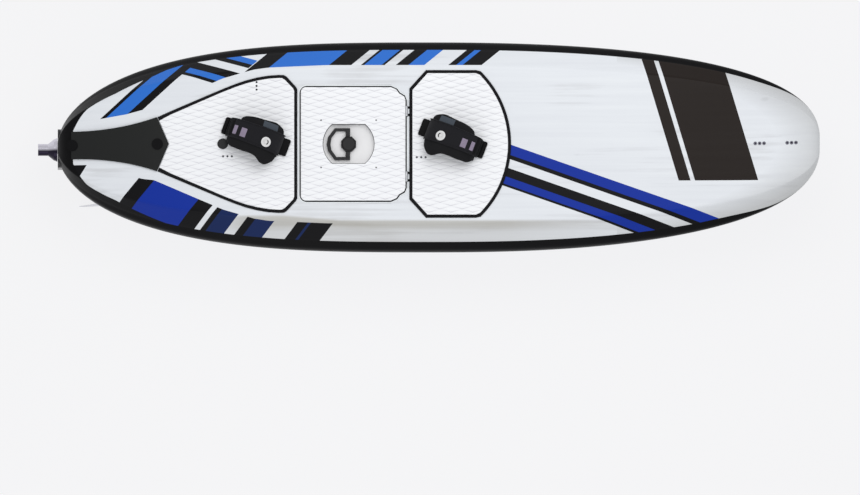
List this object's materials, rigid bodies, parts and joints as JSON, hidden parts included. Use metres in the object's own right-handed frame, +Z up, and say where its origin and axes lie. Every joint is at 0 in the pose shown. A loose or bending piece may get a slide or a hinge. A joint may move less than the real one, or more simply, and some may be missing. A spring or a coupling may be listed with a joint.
{
  "type": "electric jet surfboard",
  "caption": "Electric jet surfboard: hollow board with padded deck, foot straps, hinged battery hatch with folding latch, under-tail water jet and twin fins.",
  "frame": {"origin": "on the ground plane under the widest station, level with the fin tips", "axes": "+X to the nose, +Y to port, +Z up from the flat deck"},
  "size_m": [2.4963, 0.674, 0.4101],
  "materials": {
    "deck_white": "satin gelcoat, white with blue and black side bars, light sanding marks",
    "bottom_white": "gelcoat, lavender grey, fine dark specks",
    "foam": "closed-cell foam",
    "black_plastic": "moulded, fine grain",
    "tail_black": "satin moulded cover",
    "pad_white": "foam pad, raised diamond pattern",
    "pad_black": "foam pad base, smooth",
    "lid_grey": "moulded sandwich panel",
    "tray_white": "smooth moulded tray",
    "seal_rubber": "extruded seal",
    "steel": "stainless, brushed",
    "brass": "turned",
    "battery_grey": "moulded case",
    "cell_wrap": "shrink wrap",
    "webbing": "woven webbing",
    "cable_orange": "cable jacket",
    "controller_alloy": "anodised, finned",
    "copper": "varnished windings",
    "rotor_iron": "machined laminations",
    "bronze": "cast and polished",
    "jet_black": "moulded jet housing",
    "fairing_tan": "tan fairing, satin",
    "chrome": "polished",
    "fin_grey": "moulded fins, gloss",
    "strap_foam": "neoprene liner",
    "strap_black": "woven cover",
    "strap_rubber": "ribbed end tabs"
  },
  "bodies": {
    "board": {"deck_shell": "deck_white", "bottom_shell": "bottom_white", "foam_core": "foam", "battery_well": "black_plastic", "well_seal": "seal_rubber", "drive_bay": "black_plastic", "tail_cover": "tail_black", "cover_knobs": "black_plastic", "vent_plug": "black_plastic", "rear_pad_base": "pad_black", "rear_pad": "pad_white", "front_pad_base": "pad_black", "front_pad": "pad_white", "hinge_deck_leaves": "steel", "hinge_pins": "steel", "battery_socket": "black_plastic", "power_cable": "cable_orange", "controller_box": "controller_alloy", "phase_cables": "cable_orange", "motor_case": "controller_alloy", "motor_stator": "copper", "motor_bearings": "steel", "shaft_seal": "seal_rubber", "guide_vanes": "controller_alloy", "pump_housing": "controller_alloy", "jet_housing": "jet_black", "jet_fairing": "fairing_tan", "intake_duct": "black_plastic", "intake_grate": "steel", "nozzle": "chrome", "fins": "fin_grey", "fin_boxes": "black_plastic", "fin_screws": "black_plastic", "deck_inserts": "brass", "rear_strap_liner": "strap_foam", "rear_strap_cover": "strap_black", "front_strap_liner": "strap_foam", "front_strap_cover": "strap_black", "strap_tabs": "strap_rubber"},
    "hatch": {"hatch_lid": "lid_grey", "hatch_pad": "pad_white", "hinge_lid_leaves": "steel", "latch_tray": "tray_white", "latch_screws": "steel", "bolt_guides": "black_plastic"},
    "latch": {"latch_hub": "black_plastic", "hub_cap": "black_plastic", "latch_scroll": "steel", "scroll_nut": "steel"},
    "bail": {"latch_bail": "black_plastic"},
    "port_bolt": {"port_bolt": "steel"},
    "starboard_bolt": {"starboard_bolt": "steel"},
    "battery": {"battery_case": "battery_grey", "battery_top": "black_plastic", "cell_blocks": "cell_wrap", "battery_handle": "webbing"},
    "rotor": {"motor_rotor": "rotor_iron", "shaft_coupling": "steel", "drive_shaft": "steel", "impeller": "bronze"}
  },
  "joints": [
    {"name": "hatch_hinge", "type": "hinge", "parent": "board", "child": "hatch", "pos_m": [-0.0715, 0, 0.337], "axis": [0, 1, 0], "range_deg": [0, 105]},
    {"name": "bail_fold", "type": "hinge", "parent": "latch", "child": "bail", "pos_m": [-0.257, 0, 0.33], "axis": [0, 1, 0], "range_deg": [0, 90]},
    {"name": "latch_turn", "type": "hinge", "parent": "hatch", "child": "latch", "pos_m": [-0.257, 0, 0.336], "axis": [0, 0, 1], "range_deg": [0, 90]},
    {"name": "port_bolt_slide", "type": "slide", "parent": "hatch", "child": "port_bolt", "axis": [0, 1, 0], "range_m": [0, 0.012]},
    {"name": "starboard_bolt_slide", "type": "slide", "parent": "hatch", "child": "starboard_bolt", "axis": [0, -1, 0], "range_m": [0, 0.012]},
    {"name": "battery_lift", "type": "slide", "parent": "board", "child": "battery", "axis": [0, 0, 1], "range_m": [0, 0.08]},
    {"name": "drive_spin", "type": "hinge", "parent": "board", "child": "rotor", "pos_m": [-1.187, 0, 0.154], "axis": [0.9848, 0, 0.1736], "continuous": true}
  ],
  "couplings": [
    {"joint": "latch_turn", "follows": "bail_fold", "ratio": 1},
    {"joint": "port_bolt_slide", "follows": "bail_fold", "m_per_rad": 0.0076393},
    {"joint": "starboard_bolt_slide", "follows": "bail_fold", "m_per_rad": 0.0076393},
    {"joint": "battery_lift", "follows": "hatch_hinge", "m_per_rad": 0.043653}
  ]
}
